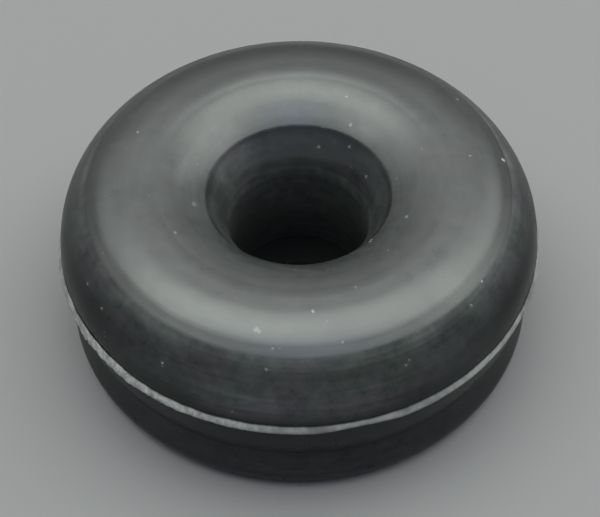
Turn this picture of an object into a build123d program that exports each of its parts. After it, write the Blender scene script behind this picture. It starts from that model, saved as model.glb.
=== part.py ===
from build123d import *
from math import radians, sin
import os

# Rubber dust gaiter, moulded in one piece: a hollow rolled convolution whose
# crown turns over into a funnel and a long neck that hangs inside it and ends
# in a gripping lip, above a beaded base. The base stands on z = 0 and the bore
# runs up +Z. Millimetres.

# Outside skin, from the base up and over to the neck
wall_r = 20.6            # widest point of the wall
girth_z = 10.1           # height of the widest point
side_radius = 19.0       # barrel of the wall below the widest point
side_angle = 22          # it runs on into the base over this many degrees
dome_radius = 6.45       # outer roll, from the widest point up to the crown
band_low = 53.7          # a narrow flat band round the outer roll, from here
band_high = 63.5         # to here, in degrees above the level
crown_flat = 0.85        # width of the level ring on top of the crown
crease_r = 12.05         # faint crease round the inner roll
crease_dip = 13          # slope down into the crease from the crown
crease_rise = 7.5        # easier slope that the roll leaves it with
shoulder_radius = 6.2    # inner roll, from the crease towards the funnel
shoulder_angle = 31      # slope at the end of the inner roll
funnel_radius = 17.5     # the funnel steepens slowly down to the rim
funnel_angle = 7         # by this many degrees
neck_r = 6.0             # bore of the neck
neck_entry_z = 11.2      # where the entry cone meets the bore
neck_end_z = 0.4         # it stops just short of the foot's plane
wall = 1.8

# Level lip that turns in at the neck's end
lip_r = 3.0
lip_thick = 1.2

# Flash left standing at the parting line, just under the widest point
parting_z = 9.75
flash_r = 21.0
flash_root = 0.9         # height in the middle of the wall
flash_tip = 0.36

# Base
base_bore_r = 15.0       # opening that seats on the housing
base_lip_z = 3.2         # top of the lip at the opening
bead_r = 20.4
bead_round = 2.0
bead_lean = 14           # lean of the bead's side, in degrees
bead_top_z = 6.2         # the lean runs on into the wall up to here
groove_z = 4.65          # crease where the bead meets the wall

# Blends
rim_round = 0.25
entry_round = 2.0
inside_round = 1.2
groove_round = 0.35
edge_round = 0.4
lip_root_round = 0.15
lip_round = 0.3

with BuildPart() as gaiter:
    with BuildSketch(Plane.XZ) as section:
        # Convolution and neck: the outside skin, thickened by an even wall.
        with BuildLine():
            CenterArc((wall_r - side_radius, girth_z), side_radius, -side_angle, side_angle)
            dome = (wall_r - dome_radius, girth_z)
            flank = CenterArc(dome, dome_radius, 0, band_low)
            roll = CenterArc(dome, dome_radius, band_high, 90 - band_high)
            Line(flank @ 1, roll @ 0)
            crown = Line(roll @ 1, roll @ 1 - (crown_flat, 0))
            brow_radius = ((crown @ 1).X - crease_r) / sin(radians(crease_dip))
            brow = JernArc(crown @ 1, crown % 1, brow_radius, crease_dip)
            onward = (crown % 1).rotate(Axis.Z, crease_rise)
            shoulder = JernArc(brow @ 1, onward, shoulder_radius, shoulder_angle - crease_rise)
            funnel = JernArc(shoulder @ 1, shoulder % 1, funnel_radius, funnel_angle)
            rim = funnel @ 1
            Polyline(rim, (neck_r, neck_entry_z), (neck_r, neck_end_z))
            offset(amount=wall, side=Side.LEFT)
        make_face()

        # Base: flat foot, round bead leaning in to the groove, and a lip that
        # turns in to the opening.
        with BuildLine():
            foot = Line((base_bore_r, 0), (bead_r - bead_round, 0))
            bead = JernArc(foot @ 1, foot % 1, bead_round, 90 + bead_lean)
            bead_side = PolarLine(
                bead @ 1,
                bead_top_z - (bead @ 1).Y,
                angle=90 + bead_lean,
                length_mode=LengthMode.VERTICAL,
            )
            Polyline(bead_side @ 1, (wall_r - wall, groove_z), (base_bore_r, base_lip_z), foot @ 0)
        make_face()

        # Flash: a thin tapered fin round the parting line.
        with BuildLine():
            Polyline(
                (wall_r - wall / 2, parting_z - flash_root / 2),
                (flash_r, parting_z - flash_tip / 2),
                (flash_r, parting_z + flash_tip / 2),
                (wall_r - wall / 2, parting_z + flash_root / 2),
                close=True,
            )
        make_face()

        # Lip at the neck's end.
        with Locations((lip_r, neck_end_z)):
            Rectangle(neck_r + wall / 2 - lip_r, lip_thick, align=(Align.MIN, Align.MIN))

        # Blends, each at the corner of the section nearest to its place.
        sleeve_r = neck_r + wall
        blends = {
            rim: rim_round,
            (neck_r, neck_entry_z): entry_round,
            (rim.X + wall, rim.Y - wall): inside_round,
            (sleeve_r, neck_entry_z): inside_round,
            (wall_r - 2 * wall, groove_z): inside_round,
            (bead_r, groove_z): groove_round,
            (neck_r, neck_end_z + lip_thick): lip_root_round,
            (lip_r, neck_end_z + lip_thick): lip_round,
            (lip_r, neck_end_z): lip_round,
            (sleeve_r, neck_end_z): edge_round,
            (base_bore_r, base_lip_z): edge_round,
            (base_bore_r, 0): edge_round,
        }
        for place, radius in blends.items():
            fillet(section.vertices().sort_by_distance(place)[0], radius)
    revolve(axis=Axis.Z)

gaiter.part.label = "gaiter"
os.makedirs("parts", exist_ok=True)
export_step(gaiter.part, "parts/gaiter.step")
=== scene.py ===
import math
from collections import namedtuple

import bpy
from mathutils import Matrix, Quaternion, Vector


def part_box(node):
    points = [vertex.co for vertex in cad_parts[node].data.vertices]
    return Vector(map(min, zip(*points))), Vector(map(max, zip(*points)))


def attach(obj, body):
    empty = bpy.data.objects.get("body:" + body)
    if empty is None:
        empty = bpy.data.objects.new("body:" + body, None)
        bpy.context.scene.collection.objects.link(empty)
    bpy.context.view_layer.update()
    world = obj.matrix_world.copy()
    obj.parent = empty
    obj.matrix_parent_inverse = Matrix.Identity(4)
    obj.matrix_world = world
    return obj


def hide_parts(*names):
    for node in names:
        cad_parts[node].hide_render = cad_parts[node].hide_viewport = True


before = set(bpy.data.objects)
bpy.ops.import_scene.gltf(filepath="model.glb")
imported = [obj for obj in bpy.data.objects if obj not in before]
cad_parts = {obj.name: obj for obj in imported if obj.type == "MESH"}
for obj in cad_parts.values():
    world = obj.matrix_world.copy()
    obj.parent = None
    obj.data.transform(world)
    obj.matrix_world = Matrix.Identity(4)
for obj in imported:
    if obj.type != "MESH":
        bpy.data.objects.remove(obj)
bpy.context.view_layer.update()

# A rubber dust gaiter, moulded in one piece. Places in its section are a
# radius and a height. Sizes on the gaiter are in millimetres, and only the
# floor, the lights and the camera are in metres. Azimuths are in degrees from
# the front, positive to the right.

MM = 0.001
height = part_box("gaiter")[1].z / MM

# Outside skin
wall = 1.8
wall_r = 20.6            # widest point of the wall
dome_radius = 6.45       # outer roll
girth_z = height - dome_radius
side_radius = 19.0       # barrel of the wall below the widest point
band_low = 53.7          # flat band round the outer roll, in degrees
band_high = 63.5
band_low_z = girth_z + dome_radius * math.sin(math.radians(band_low))
crown_flat = 0.85
crease_r = 12.05         # faint crease in the inner roll
crease_dip = 13
crease_rise = 7.5
shoulder_radius = 6.2    # inner roll, from the crease to the funnel
shoulder_angle = 31
funnel_radius = 17.5
funnel_angle = 7
neck_r = 6.0
neck_entry_z = 11.2      # the entry cone meets the bore here
neck_end_z = 0.4

# Lip at the neck's end
lip_r = 3.0
lip_top_z = 1.6

# Inside, one wall behind the skin
sleeve_r = neck_r + wall
sleeve_top_z = neck_entry_z - 0.505
inside_funnel_angle = 6.36
pocket_z = 4.26          # the wall's inner side meets the base's lip here

# Base
base_bore_r = 15.0
base_lip_z = 3.2
bead_r = 20.4
bead_round = 2.0
bead_lean = 14
groove_z = 4.65

# Flash at the parting line, before it is torn: a thin skirt that leans down
fin_top_z = 10.0         # its top leaves the wall here
fin_root = 0.58          # how high it is there
fin_low_z = 9.5          # its lower edge
fin_tip = 0.16
fin_r = 20.84
fin_from_r = wall_r + 0.02    # anything further out than this is flash

turns = 360              # faces round the moulding
fin_cuts = 3             # extra cuts in each face round the flash


# Drawing a section in edit mode: its end vertex is extruded and spun from
# place to place, always in the XZ plane.

class Pen:
    """The end of the section being drawn, at radius r and height z."""

    def __init__(self, name, r, z):
        bpy.ops.object.select_all(action="DESELECT")
        bpy.ops.mesh.primitive_plane_add(size=MM)
        self.piece = bpy.context.object
        self.piece.name = name
        self.piece.data.name = name
        bpy.ops.object.mode_set(mode="EDIT")
        bpy.ops.mesh.select_all(action="SELECT")
        bpy.ops.mesh.merge(type="CENTER")
        bpy.ops.transform.translate(value=(r * MM, 0, z * MM))
        self.r, self.z = r, z

    def line(self, r, z, steps=1):
        """Straight on to a place, in even steps."""
        step = Vector((r - self.r, 0, z - self.z)) * (MM / steps)
        for _ in range(steps):
            bpy.ops.mesh.extrude_region_move(TRANSFORM_OT_translate={"value": step})
        self.r, self.z = r, z

    def arc(self, centre, degrees, steps):
        """Round a centre; a positive angle turns from the radius towards up."""
        centre_r, centre_z = centre
        turn = math.radians(degrees)
        bpy.ops.mesh.spin(
            steps=steps,
            angle=turn,
            center=(centre_r * MM, 0, centre_z * MM),
            axis=(0, 1, 0),
        )
        away = Vector((self.r - centre_r, self.z - centre_z))
        away.rotate(Matrix.Rotation(turn, 2))
        self.r, self.z = centre_r + away.x, centre_z + away.y


def along(centre, radius, degrees):
    """The place on a circle at an angle above the level."""
    angle = math.radians(degrees)
    return centre[0] + radius * math.cos(angle), centre[1] + radius * math.sin(angle)


def draw_section():
    """Once round the wall of the moulding, from the foot's inner edge."""
    pen = Pen("rubber_gaiter", base_bore_r, 0)

    # Foot, bead, groove and the barrel of the wall up to the flash
    pen.line(bead_r - bead_round, 0, 3)
    pen.arc((bead_r - bead_round, bead_round), 90 + bead_lean, 13)
    barrel = (wall_r - side_radius, girth_z)
    groove_angle = math.degrees(math.asin((girth_z - groove_z) / side_radius))
    groove = along(barrel, side_radius, -groove_angle)
    fin_angle = math.degrees(math.asin((girth_z - fin_top_z + fin_root) / side_radius))
    pen.line(*groove, 4)
    pen.arc(barrel, groove_angle - fin_angle, 11)

    # Flash
    pen.line(fin_r, fin_low_z, 2)
    pen.line(fin_r, fin_low_z + fin_tip, 2)
    pen.line(wall_r, fin_top_z, 4)
    pen.line(wall_r, girth_z)

    # Outer roll, and its flat band, which has a narrow face along each edge
    dome = (wall_r - dome_radius, girth_z)
    pen.arc(dome, band_low, 28)
    band_end = along(dome, dome_radius, band_high)
    edge = (Vector(band_end) - Vector((pen.r, pen.z))) * 0.24
    pen.line(pen.r + edge.x, pen.z + edge.y)
    pen.line(band_end[0] - edge.x, band_end[1] - edge.y)
    pen.line(*band_end)
    pen.arc(dome, 90 - band_high, 14)
    pen.line(pen.r - crown_flat, height, 2)

    # Inner roll: down into the crease, on towards the funnel, and down it
    brow_radius = (pen.r - crease_r) / math.sin(math.radians(crease_dip))
    brow = (pen.r, height - brow_radius)
    pen.arc(brow, crease_dip, 7)
    shoulder = along((pen.r, pen.z), shoulder_radius, crease_rise - 90)
    pen.arc(shoulder, shoulder_angle - crease_rise, 14)
    funnel = along((pen.r, pen.z), funnel_radius, shoulder_angle - 90)
    pen.arc(funnel, funnel_angle, 8)
    rim = (pen.r, pen.z)

    # Entry cone, bore, lip, and the neck's end and outside
    pen.line(neck_r, neck_entry_z, 2)
    pen.line(neck_r, lip_top_z, 6)
    pen.line(lip_r, lip_top_z, 3)
    pen.line(lip_r, neck_end_z)
    pen.line(sleeve_r, neck_end_z, 3)
    pen.line(sleeve_r, sleeve_top_z, 6)

    # Back along the inside, one wall behind the skin
    inner_angle = shoulder_angle + inside_funnel_angle
    inner_corner = along(funnel, funnel_radius - wall, 90 + inner_angle)
    pen.line(*inner_corner, 4)
    pen.arc(funnel, -inside_funnel_angle, 3)
    pen.arc(shoulder, crease_rise - shoulder_angle, 6)
    pen.line(*along(brow, brow_radius - wall, 90 + crease_dip))
    pen.arc(brow, -crease_dip, 4)
    pen.line(dome[0], pen.z, 1)
    pen.arc(dome, -90, 14)
    pocket_angle = math.degrees(math.asin((girth_z - pocket_z) / (side_radius - wall)))
    pen.arc(barrel, -pocket_angle, 7)
    pocket = (pen.r, pen.z)
    pen.line(base_bore_r, base_lip_z, 3)
    pen.line(base_bore_r, 0, 3)

    bpy.ops.mesh.select_all(action="SELECT")
    bpy.ops.mesh.remove_doubles(threshold=0.002 * MM)
    bpy.ops.object.mode_set(mode="OBJECT")

    # Blends: each corner, and how far its round reaches along the skin
    blends = {
        rim: 0.14,
        (neck_r, neck_entry_z): 1.45,
        (lip_r, neck_end_z): 0.3,
        (sleeve_r, neck_end_z): 0.4,
        (sleeve_r, sleeve_top_z): 0.33,
        inner_corner: 0.22,
        pocket: 0.57,
        (base_bore_r, base_lip_z): 0.28,
        (base_bore_r, 0): 0.4,
        groove: 0.09,
    }
    for place, reach in blends.items():
        round_corner(pen.piece, place, reach)
    return pen.piece


def round_corner(section, place, reach):
    """Rounds the section's corner at a place, a wide one with more segments."""
    corner = Vector((place[0] * MM, 0, place[1] * MM))
    nearest = min(section.data.vertices, key=lambda v: (v.co - corner).length).index
    select(section, "VERT", lambda v: v.index == nearest)
    segments = 4 if reach < 1 else 10
    bpy.ops.mesh.bevel(offset=reach * MM, segments=segments, affect="VERTICES")
    bpy.ops.object.mode_set(mode="OBJECT")


def select(piece, kind, wanted):
    """Goes into edit mode with only the wanted vertices, edges or faces
    selected."""
    mesh = piece.data
    parts = {"VERT": mesh.vertices, "EDGE": mesh.edges, "FACE": mesh.polygons}[kind]
    bpy.ops.object.mode_set(mode="EDIT")
    bpy.ops.mesh.select_mode(type=kind)
    bpy.ops.mesh.select_all(action="DESELECT")
    bpy.ops.object.mode_set(mode="OBJECT")
    for part in parts:
        part.select = wanted(part)
    bpy.ops.object.mode_set(mode="EDIT")


# The torn flash

def hump(azimuth, centre, half_width):
    """A smooth hump: 1 at its centre and 0 from its half width away."""
    away = min(1, abs(azimuth - centre) / half_width)
    return 0.5 + 0.5 * math.cos(math.pi * away)


def hang(azimuth):
    """How far the flash's edge hangs below the clean skirt."""
    return (
        0.33
        + 0.18 * hump(azimuth, -42, 22)
        + 0.32 * hump(azimuth, -60, 12)
        + 0.12 * hump(azimuth, -86, 14)
        + 0.05 * hump(azimuth, 27, 9)
        - 0.24 * hump(azimuth, 13, 11)
        - 0.15 * hump(azimuth, 75, 48)
    )


def stand(azimuth):
    """How far the flash stands out beyond the clean skirt."""
    outer_strand = 0.04 if -118 < azimuth < -67.5 else 0
    return 0.04 + outer_strand + 0.05 * hump(azimuth, -45, 40) - 0.04 * hump(azimuth, 13, 10)


def rise(azimuth):
    """How far the flash's root stands up above the clean skirt."""
    return 0.3 * hump(azimuth, -56, 22) + 0.08 * hump(azimuth, -85, 20)


def torn(azimuth):
    """How ragged the flash is, from 0 to 1."""
    return 0.14 + 0.86 * hump(azimuth, -56, 52)


def weigh(piece, name, weight):
    """A vertex group over the flash, whose weight comes from each vertex's
    azimuth and its share of the way out from the wall."""
    group = piece.vertex_groups.new(name=name)
    for vertex in piece.data.vertices:
        place = vertex.co / MM
        r = math.hypot(place.x, place.y)
        if r > fin_from_r and fin_low_z - 0.1 < place.z < fin_top_z:
            azimuth = math.degrees(math.atan2(place.x, -place.y))
            out = (r - wall_r) / (fin_r - wall_r)
            group.add([vertex.index], min(1, max(0, weight(azimuth, out))), "REPLACE")


def displace(piece, group, direction, amount, middle=0, grain=None):
    """Moves a vertex group along a direction by an amount, evenly or by
    clouds of a grain."""
    modifier = piece.modifiers.new(group, "DISPLACE")
    modifier.vertex_group = group
    modifier.direction = direction
    modifier.strength = amount * MM
    modifier.mid_level = middle
    if grain:
        clouds = bpy.data.textures.new(group, "CLOUDS")
        clouds.noise_scale = grain * MM
        modifier.texture = clouds
        modifier.texture_coords = "LOCAL"
    bpy.ops.object.modifier_apply(modifier=modifier.name)


def tear_flash(piece):
    """Hangs the flash's edge, stands it out, lifts its root and tears it.
    A weight goes up to 1, so each is a share of the most that it moves."""
    most_hang = 1.0
    most_stand = 0.15
    most_rise = 0.4

    def root_share(out):
        return min(1, 1.6 - 1.6 * out)

    weigh(piece, "hang", lambda azimuth, out: out * hang(azimuth) / most_hang)
    weigh(piece, "stand", lambda azimuth, out: out * stand(azimuth) / most_stand)
    weigh(piece, "rise", lambda azimuth, out: root_share(out) * rise(azimuth) / most_rise)
    weigh(piece, "torn_edge", lambda azimuth, out: out ** 2 * torn(azimuth))
    weigh(piece, "lumps", lambda azimuth, out: out * torn(azimuth))
    displace(piece, "hang", "Z", -most_hang)
    displace(piece, "stand", "NORMAL", most_stand)
    displace(piece, "rise", "Z", most_rise)
    displace(piece, "torn_edge", "Z", 0.75, middle=0.5, grain=0.8)
    displace(piece, "lumps", "NORMAL", 0.34, middle=0.5, grain=0.5)


def make_gaiter():
    """The moulding: its section spun round, with the flash cut finer and torn."""
    piece = draw_section()
    bpy.ops.object.mode_set(mode="EDIT")
    bpy.ops.mesh.select_mode(type="VERT")
    bpy.ops.mesh.select_all(action="SELECT")
    bpy.ops.mesh.spin(steps=turns, angle=math.tau, center=(0, 0, 0), axis=(0, 0, 1))
    bpy.ops.mesh.select_all(action="SELECT")
    bpy.ops.mesh.remove_doubles(threshold=0.002 * MM)
    bpy.ops.mesh.normals_make_consistent(inside=False)
    bpy.ops.object.mode_set(mode="OBJECT")

    points = piece.data.vertices

    def on_fin(vertex):
        return math.hypot(*vertex.co.xy) > fin_from_r * MM

    def round_fin(edge):
        one, other = (points[index] for index in edge.vertices)
        level = abs(one.co.z - other.co.z) < 0.001 * MM
        return level and on_fin(one) and (one.co - other.co).length < 0.5 * MM

    select(piece, "EDGE", round_fin)
    bpy.ops.mesh.subdivide(number_cuts=fin_cuts)
    bpy.ops.object.mode_set(mode="OBJECT")
    tear_flash(piece)
    bpy.ops.object.shade_smooth_by_angle(angle=math.radians(40))
    return piece


# Finishes

bare_rubber = (0.007, 0.0073, 0.0078, 1)
green_bloom = (0.056, 0.062, 0.059, 1)
violet_bloom = (0.062, 0.059, 0.063, 1)
torn_dark = (0.275, 0.275, 0.266, 1)
torn_light = (0.53, 0.528, 0.512, 1)
torn_palest = (0.9, 0.89, 0.85, 1)
lint_grey = (0.42, 0.43, 0.42, 1)
floor_under = (0.146, 0.14, 0.143, 1)
floor_pale = (0.335, 0.32, 0.327, 1)


class Wiring:
    """Adds nodes to a material or the world and joins them."""

    def __init__(self, owner):
        owner.use_nodes = True
        self.tree = owner.node_tree
        self.tree.nodes.clear()

    def node(self, kind, inputs=None, **settings):
        """A node. Each input takes a value, or another node's output."""
        made = self.tree.nodes.new(kind)
        for name, value in settings.items():
            setattr(made, name, value)
        for name, value in (inputs or {}).items():
            if isinstance(value, bpy.types.NodeSocket):
                self.tree.links.new(value, made.inputs[name])
            else:
                made.inputs[name].default_value = value
        return made

    def maths(self, operation, first, second=0.0):
        """The result of one sum on two numbers."""
        made = self.node("ShaderNodeMath", {0: first, 1: second}, operation=operation)
        return made.outputs[0]

    def add(self, first, second):
        return self.maths("ADD", first, second)

    def times(self, first, second):
        return self.maths("MULTIPLY", first, second)

    def vector(self, operation, first, second=(0, 0, 0)):
        """The vector that a sum on two vectors gives."""
        made = self.node("ShaderNodeVectorMath", {0: first, 1: second}, operation=operation)
        return made.outputs["Vector"]

    def measure(self, operation, first, second=(0, 0, 0)):
        """The number that a sum on two vectors gives."""
        made = self.node("ShaderNodeVectorMath", {0: first, 1: second}, operation=operation)
        return made.outputs["Value"]

    def split(self, vector):
        """The X, Y and Z of a vector."""
        return tuple(self.node("ShaderNodeSeparateXYZ", {"Vector": vector}).outputs)

    def ease(self, value, start, end, low=0.0, high=1.0):
        """Low at the start and high at the end, with a smooth way between."""
        made = self.node(
            "ShaderNodeMapRange",
            {"Value": value, "From Min": start, "From Max": end, "To Min": low, "To Max": high},
            interpolation_type="SMOOTHSTEP",
        )
        return made.outputs["Result"]

    def blend(self, share, first, second):
        """A colour mixed from two by a share, which may pass 1."""
        made = self.node(
            "ShaderNodeMix",
            {"Factor": share, "A": first, "B": second},
            data_type="RGBA",
            clamp_factor=False,
        )
        return made.outputs["Result"]

    def noise(self, place, size, detail=2.0, roughness=0.5, distortion=0.0):
        """Clouds of about a size."""
        made = self.node(
            "ShaderNodeTexNoise",
            {
                "Vector": place,
                "Scale": 1 / (size * MM),
                "Detail": detail,
                "Roughness": roughness,
                "Distortion": distortion,
            },
        )
        return made.outputs["Fac"]

    def relief(self, height, depth, under=None):
        """A normal with a relief of some depth on it, over another if given."""
        inputs = {"Strength": 1.0, "Distance": depth * MM, "Height": height}
        if under:
            inputs["Normal"] = under
        return self.node("ShaderNodeBump", inputs).outputs["Normal"]


# A point of the skin, as sockets: its place in metres, its radius and height
# in mm, the way straight out from the axis to it, and how far that way points
# to the right and to the back, from -1 to 1.
Spot = namedtuple("Spot", "place r z outwards right back")


def find_spot(wiring):
    place = wiring.node("ShaderNodeTexCoord").outputs["Object"]
    flat = wiring.vector("MULTIPLY", place, (1, 1, 0))
    outwards = wiring.vector("NORMALIZE", flat)
    right, back, _ = wiring.split(outwards)
    _, _, up = wiring.split(place)
    r = wiring.times(wiring.measure("LENGTH", flat), 1 / MM)
    z = wiring.times(up, 1 / MM)
    return Spot(place, r, z, outwards, right, back)


# Lint on the top and the flank, listed one by one: azimuth, radius and height,
# half its width, and how pale it is from 0 to 1. Two or three side by side
# make a short fibre.
lint = (
    (98, 17.7, 15.5, 0.2, 1.0),
    (98, 14.7, 16.55, 0.12, 0.5),
    (124, 17.0, 15.9, 0.14, 0.4),
    (91, 19.7, 13.4, 0.15, 0.5),
    (115, 19.1, 14.2, 0.13, 0.5),
    (156, 10.7, 16.15, 0.17, 0.8),
    (148, 8.7, 15.0, 0.17, 0.8),
    (143, 7.5, 13.7, 0.16, 0.45),
    (165, 7.0, 12.9, 0.18, 0.4),
    (120, 6.8, 12.6, 0.2, 0.3),
    (66, 9.7, 15.6, 0.16, 0.7),
    (46, 8.1, 14.6, 0.15, 0.7),
    (48, 8.0, 14.5, 0.11, 0.7),
    (54, 18.0, 15.3, 0.13, 0.7),
    (47, 18.5, 14.8, 0.12, 0.5),
    (20, 12.8, 16.5, 0.12, 0.4),
    (4, 14.4, 16.55, 0.14, 0.7),
    (11, 17.1, 15.8, 0.13, 0.4),
    (25, 19.4, 13.8, 0.12, 0.45),
    (26, 19.25, 14.05, 0.11, 0.35),
    (-2, 9.2, 15.3, 0.11, 0.4),
    (-7, 17.4, 15.7, 0.13, 0.35),
    (-8, 18.7, 14.7, 0.15, 0.3),
    (-12, 16.2, 16.25, 0.24, 0.6),
    (-11, 16.35, 16.2, 0.16, 0.5),
    (-15, 20.55, 10.95, 0.13, 0.5),
    (-33, 19.8, 13.1, 0.14, 0.75),
    (-32.5, 19.85, 12.9, 0.12, 0.75),
    (-32, 19.9, 12.75, 0.1, 0.7),
    (-54, 19.6, 13.5, 0.14, 0.5),
    (-62, 19.5, 13.75, 0.13, 0.4),
    (-59, 11.7, 16.35, 0.14, 0.35),
    (-78, 8.9, 15.15, 0.24, 0.3),
    (-111, 14.7, 16.5, 0.14, 0.5),
)


def scatter_lint(wiring, at):
    """Where lint and fine dust lie, from 0 to 1."""
    ragged_size = 0.16
    ragged_reach = 0.35
    ragged = wiring.node(
        "ShaderNodeTexNoise",
        {"Vector": at.place, "Scale": 1 / (ragged_size * MM), "Detail": 1.0},
    ).outputs["Color"]
    shift = wiring.vector("SUBTRACT", ragged, (0.5, 0.5, 0.5))
    shift = wiring.vector("MULTIPLY", shift, (ragged_reach * MM,) * 3)
    near = wiring.vector("ADD", at.place, shift)

    # Dust: a fine dot in some of the cells of a loose grid
    cell_size = 1.2
    cell = wiring.node(
        "ShaderNodeTexVoronoi", {"Vector": at.place, "Scale": 1 / (cell_size * MM)}
    ).outputs
    dot = wiring.ease(cell["Distance"], 0.07, 0.04)
    chosen, _, _ = wiring.split(cell["Color"])
    lying = wiring.times(dot, wiring.ease(chosen, 0.4, 1.0, 0, 0.45))

    for azimuth, r, z, half_width, pale in lint:
        angle = math.radians(azimuth)
        middle = Vector((r * math.sin(angle), -r * math.cos(angle), z)) * MM
        away = wiring.measure("DISTANCE", near, middle)
        edge = 1.25 * half_width * MM
        speck = wiring.ease(away, edge, 0.4 * edge, 0, pale)
        lying = wiring.maths("MAXIMUM", lying, speck)
    return lying


# How thick the bloom is on each part of the skin: 0 is bare, and 1 is plain
# to see. Part of it is painted light and shade: where it changes from front
# to back or side to side, at the bore's mouth, and down the bore.

def flank_bloom_and_painted_light(wiring, at):
    """Thin on the wall, thicker on the bead, and thick on the outer roll. The
    rest is painted light and shade: less low on its sides and half at the back
    are painted shade, and more low in front and up to the band, more so on the
    right, is painted light and sheen."""
    bloom = wiring.ease(at.z, 10.2, 12.4, 0.35, 0.92)
    # Painted shade: less bloom low on the sides and the back darkens them, in place of dimmer
    # reflections there.
    painted_side_shade = wiring.times(
        wiring.ease(at.back, -0.85, -0.5),
        wiring.ease(at.z, 14.6, 12.6, 0, 0.75),
    )
    bloom = wiring.times(bloom, wiring.maths("SUBTRACT", 1, painted_side_shade))
    # Painted light: more bloom low in front lightens the side that faces the camera.
    painted_front_light = wiring.ease(at.back, -1.0, -0.87, 1.3, 0)
    low = wiring.times(wiring.ease(at.z, 9.9, 10.9), wiring.ease(at.z, 14.3, 11.8))
    bloom = wiring.add(bloom, wiring.times(painted_front_light, low))
    # Painted sheen: more bloom just below the band, more so on the right, lightens the flank
    # towards the band's edge.
    painted_band_sheen = wiring.times(
        wiring.ease(at.z, band_low_z - 1.0, band_low_z + 0.05),
        wiring.ease(at.right, 0.1, 0.7, 0.5, 0.9),
    )
    bloom = wiring.add(bloom, painted_band_sheen)
    bead = wiring.ease(at.z, 5.0, 4.4, 0, 0.3)
    bloom = wiring.add(bloom, bead)
    # Painted shade: the bloom is halved at the back.
    return wiring.times(bloom, wiring.ease(at.back, 0.2, 0.9, 1, 0.5))


def handled_bloom_and_painted_light(wiring, at):
    """Thin on the handled crown, thinner on the band and at the rim, thicker in
    the funnel and the cone, and less low in the cone. The rest is painted
    light and shade: half at the back and less at the back of the funnel are
    painted shade, more at the bore's mouth is painted light, and more on the
    left of the cone is a painted reflection."""
    crown_to_funnel = wiring.ease(at.r, 11.8, 9.2, 0.37, 0.7)
    band = wiring.ease(at.r, 16.5, 18.0, 0, -0.25)
    rim = wiring.ease(at.r, 9.0, 8.0, 0, -0.14)
    cone = wiring.ease(at.r, 7.85, 7.3, 0, 0.5)
    low_cone = wiring.ease(at.z, 13.6, 12.4, 0, -0.32)
    bloom = crown_to_funnel
    for change in (band, rim, cone, low_cone):
        bloom = wiring.add(bloom, change)
    # Painted shade: the bloom is halved at the back.
    bloom = wiring.times(bloom, wiring.ease(at.back, 0.2, 0.9, 1, 0.5))
    # Painted light: more bloom at the bore's mouth fills the dark line where the shading drops.
    painted_mouth_light = wiring.ease(at.z, 12.2, 11.2, 0, 0.45)
    bloom = wiring.add(bloom, painted_mouth_light)
    # Painted reflection: more bloom on the left of the cone, towards the back, lightens it like
    # a reflection.
    painted_reflection_side = wiring.times(
        wiring.ease(at.right, -0.35, -0.75),
        wiring.ease(at.back, 0.05, 0.5),
    )
    painted_left_reflection = wiring.times(painted_reflection_side, wiring.ease(at.r, 8.1, 7.6))
    bloom = wiring.add(bloom, painted_left_reflection)
    # Painted shade: less bloom at the back of the funnel darkens its reflection there.
    painted_back_shade = wiring.times(
        wiring.ease(at.back, 0.6, 0.9),
        wiring.ease(at.z, 13.9, 14.5, 0, 0.2),
    )
    return wiring.maths("SUBTRACT", bloom, painted_back_shade)


def bore_bloom_and_painted_shade(wiring, at):
    """Thick at the mouth of the bore, less further down, and nearly none on the
    lip. This is painted shade: it darkens the bore towards its bottom and the
    lip below it."""
    # Painted shade: the bloom thins down the bore and all but stops on the lip, so the hole
    # darkens towards its bottom.
    bloom = wiring.ease(at.z, 4.0, 11.5, 0.6, 1.4)
    above_lip = wiring.ease(at.z, lip_top_z + 0.02, lip_top_z + 0.15, 0.03, 1)
    return wiring.times(bloom, above_lip)


def find_marks(wiring, at):
    """The mould's turning marks: noise on the radius and the height, which
    changes slowly on the way round."""
    mark_width = 0.35
    change = 2.2
    ring = wiring.node(
        "ShaderNodeCombineXYZ",
        {
            "X": wiring.maths("DIVIDE", at.r, mark_width),
            "Y": wiring.maths("DIVIDE", at.z, mark_width),
            "Z": wiring.times(at.right, change),
        },
    ).outputs[0]
    return wiring.node(
        "ShaderNodeTexNoise",
        {"Vector": ring, "W": wiring.times(at.back, change), "Scale": 1.0, "Detail": 0.6},
        noise_dimensions="4D",
    ).outputs["Fac"]


def find_torn_grey(wiring, at, scuff):
    """The grey of the torn flash, with pale flecks round its palest place."""
    grey = wiring.blend(wiring.ease(scuff, 0.32, 0.68), torn_dark, torn_light)
    palest = math.radians(-37)
    way_to_palest = (math.sin(palest), -math.cos(palest), 0)
    near_palest = wiring.measure("DOT_PRODUCT", at.outwards, way_to_palest)
    flecks = wiring.noise(at.place, 0.45, detail=3.0, roughness=0.7)
    share = wiring.times(
        wiring.ease(near_palest, 0.8, 0.97),
        wiring.ease(flecks, 0.34, 0.68, 0.12, 0.68),
    )
    return wiring.blend(share, grey, torn_palest)


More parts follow.
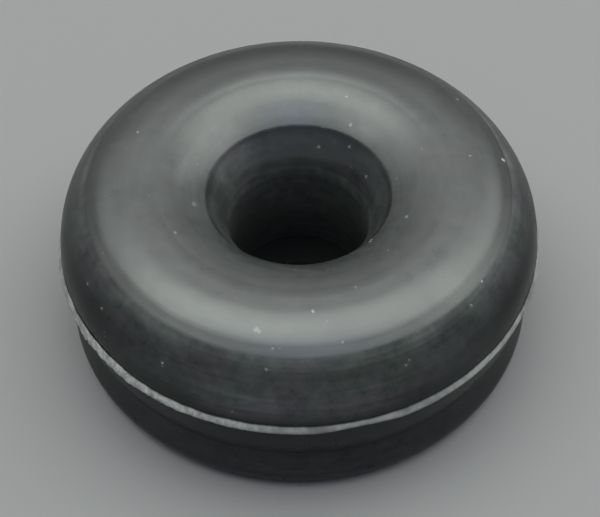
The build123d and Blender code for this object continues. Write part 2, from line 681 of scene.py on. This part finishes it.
def make_rubber(name, ior, specular_level, find_bloom_and_painted_light):
    """Black rubber with a thin cloudy bloom, turning marks of the mould, a
    pale scuffed flash, and lint. The bloom's thickness also carries painted
    light and shade."""
    rubber = bpy.data.materials.new(name)
    wiring = Wiring(rubber)
    at = find_spot(wiring)
    marks = find_marks(wiring, at)
    clouds = wiring.noise(at.place, 4.5, detail=4.0, roughness=0.6, distortion=0.6)
    mottle = wiring.noise(at.place, 0.9, detail=3.0, roughness=0.6)
    cloudy = wiring.add(wiring.times(clouds, 0.6), wiring.times(mottle, 0.4))

    # Bloom, whose thickness also carries painted light and shade
    bloom_and_painted_light_share = find_bloom_and_painted_light(wiring, at)
    bloom_and_painted_light_share = wiring.times(bloom_and_painted_light_share, wiring.ease(cloudy, 0.36, 0.66, 0.72, 1.28))
    bloom_and_painted_light_share = wiring.times(bloom_and_painted_light_share, wiring.ease(marks, 0.3, 0.7, 0.88, 1.12))
    tinge = wiring.noise(at.place, 3.2, detail=3.0)
    bloom = wiring.blend(wiring.ease(tinge, 0.35, 0.65), green_bloom, violet_bloom)
    colour = wiring.blend(bloom_and_painted_light_share, bare_rubber, bloom)

    # Scuffed flash: everything that stands proud of the wall
    scuff = wiring.noise(at.place, 1.7, detail=4.0, roughness=0.6)
    worn_r = wiring.add(at.r, wiring.times(scuff, 0.08))
    proud = wiring.ease(worn_r, wall_r + 0.06, wall_r + 0.15)
    colour = wiring.blend(proud, colour, find_torn_grey(wiring, at, scuff))

    lying = scatter_lint(wiring, at)
    colour = wiring.blend(lying, colour, lint_grey)

    roughness = wiring.ease(cloudy, 0.36, 0.66, 0.27, 0.37)
    roughness = wiring.add(roughness, wiring.times(proud, 0.25))
    roughness = wiring.add(roughness, wiring.times(lying, 0.3))

    waves = wiring.noise(at.place, 1.8, detail=1.0)
    grain = wiring.noise(at.place, 0.14, detail=2.0)
    relief = wiring.relief(waves, 0.018)
    relief = wiring.relief(marks, 0.004, relief)
    relief = wiring.relief(grain, 0.0015, relief)

    shader = wiring.node(
        "ShaderNodeBsdfPrincipled",
        {
            "Base Color": colour,
            "Roughness": roughness,
            "IOR": ior,
            "Specular IOR Level": specular_level,
            "Normal": relief,
        },
    )
    wiring.node("ShaderNodeOutputMaterial", {"Surface": shader.outputs[0]})
    return rubber


def is_handled(face):
    """The top, from the band inwards, down through the funnel and the cone."""
    r = math.hypot(*face.center.xy) / MM
    z = face.center.z / MM
    return face.normal.z > 0.1 and z > neck_entry_z and (z > band_low_z or r < crease_r)


def is_in_bore(face):
    """The bore and the lip."""
    r = math.hypot(*face.center.xy) / MM
    return r < neck_r + 0.5 and face.center.z / MM < neck_entry_z


def finish_gaiter(piece):
    """Dull black rubber all over, but glossier where it is handled, and
    duller in the bore."""
    materials = piece.data.materials
    materials.append(make_rubber("dull_black_rubber", 1.25, 0.5, flank_bloom_and_painted_light))
    materials.append(make_rubber("handled_black_rubber", 1.65, 1.0, handled_bloom_and_painted_light))
    materials.append(make_rubber("bore_black_rubber", 1.25, 0.4, bore_bloom_and_painted_shade))
    for slot, is_there in ((1, is_handled), (2, is_in_bore)):
        select(piece, "FACE", is_there)
        piece.active_material_index = slot
        bpy.ops.object.material_slot_assign()
        bpy.ops.object.mode_set(mode="OBJECT")


# The stage, in metres

def make_floor():
    """A wide plain pale floor under the gaiter. The light that it throws up
    under the gaiter is that of a darker bench."""
    bpy.ops.object.select_all(action="DESELECT")
    bpy.ops.mesh.primitive_plane_add(size=4)
    floor = bpy.context.object
    floor.name = "floor"
    paint = bpy.data.materials.new("pale_matt_floor")
    wiring = Wiring(paint)
    ray = wiring.node("ShaderNodeLightPath").outputs
    seen = wiring.maths("MAXIMUM", ray["Is Camera Ray"], ray["Is Glossy Ray"])
    seen = wiring.maths("MAXIMUM", seen, ray["Is Transmission Ray"])
    shader = wiring.node(
        "ShaderNodeBsdfPrincipled",
        {
            "Base Color": wiring.blend(seen, floor_under, floor_pale),
            "Roughness": 0.9,
            "Specular IOR Level": 0.2,
        },
    )
    wiring.node("ShaderNodeOutputMaterial", {"Surface": shader.outputs[0]})
    floor.data.materials.append(paint)


# Radiance of the room by how far up one looks, from level to overhead, and of
# its dim side in front
ceiling_levels = {0.0: 0.26, 0.17: 0.28, 0.42: 0.49, 0.57: 0.66, 0.75: 0.91}
front_light = (0.14, 0.153, 0.184, 1)


def make_panel(name, place, width, depth, brightness, tint=(0.92, 1.0, 0.945)):
    """A soft panel that faces down, with its brightness in plain radiance."""
    data = bpy.data.lights.new(name, "AREA")
    data.shape = "ELLIPSE"
    data.size = width
    data.size_y = depth
    data.energy = brightness * math.pi ** 2 / 4 * width * depth
    data.color = tint
    panel = bpy.data.objects.new(name, data)
    panel.location = place
    bpy.context.scene.collection.objects.link(panel)


def light_room():
    """The room: a bright ceiling that falls off to a dim horizon, dimmer on
    the left, and dimmest in front, where one stands to look at the gaiter."""
    world = bpy.data.worlds.new("soft_room")
    bpy.context.scene.world = world
    wiring = Wiring(world)
    towards = wiring.node("ShaderNodeTexCoord").outputs["Generated"]
    right, back, up = wiring.split(towards)
    ramp = wiring.node("ShaderNodeValToRGB", {"Fac": up})
    stops = ramp.color_ramp.elements
    while len(stops) < len(ceiling_levels):
        stops.new(0.5)
    for stop, (position, level) in zip(stops, ceiling_levels.items()):
        stop.position = position
        stop.color = (0.95 * level, level, 0.965 * level, 1)
    black = (0, 0, 0, 1)
    glow = wiring.blend(wiring.ease(right, -0.72, -0.97, 0, 0.6), ramp.outputs["Color"], black)
    glow = wiring.blend(wiring.ease(back, 0.02, -0.34), glow, front_light)
    sky = wiring.node("ShaderNodeBackground", {"Color": glow, "Strength": 1.0})
    wiring.node("ShaderNodeOutputWorld", {"Surface": sky.outputs[0]})


def make_camera():
    """Looks down at the gaiter from the front at 49 degrees."""
    distance = 126 * MM
    elevation = math.radians(49.08)
    roll = math.radians(-0.59)
    aim = Vector((0.07, -2.17, 8.22)) * MM
    data = bpy.data.cameras.new("camera")
    data.lens = 86.8
    data.sensor_width = 36
    data.clip_start = 0.01
    data.clip_end = 10
    camera = bpy.data.objects.new("camera", data)
    camera.location = (
        0,
        -distance * math.cos(elevation),
        girth_z * MM + distance * math.sin(elevation),
    )
    look = (aim - camera.location).to_track_quat("-Z", "Y")
    camera.rotation_mode = "QUATERNION"
    camera.rotation_quaternion = look @ Quaternion((0, 0, 1), roll)
    bpy.context.scene.collection.objects.link(camera)
    bpy.context.scene.camera = camera


gaiter = make_gaiter()
finish_gaiter(gaiter)
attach(gaiter, "root")
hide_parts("gaiter")

make_floor()
make_panel("overhead_panel", (0.03, 0.01, 0.6), 1.2, 0.68, 1.5)
make_panel("side_panel", (0.76, 0.40, 0.61), 0.6, 0.9, 1.0)
make_panel("back_panel", (-0.75, 0.46, 0.62), 0.7, 0.66, 0.34)
make_panel("near_lamp", (-0.13, 0.04, 0.59), 0.4, 0.28, 0.42)
make_panel("cool_lamp", (0.03, -0.25, 0.58), 0.3, 0.12, 0.95, tint=(0.24, 0.4, 1.0))
light_room()
make_camera()
bpy.context.scene.view_settings.view_transform = "Standard"
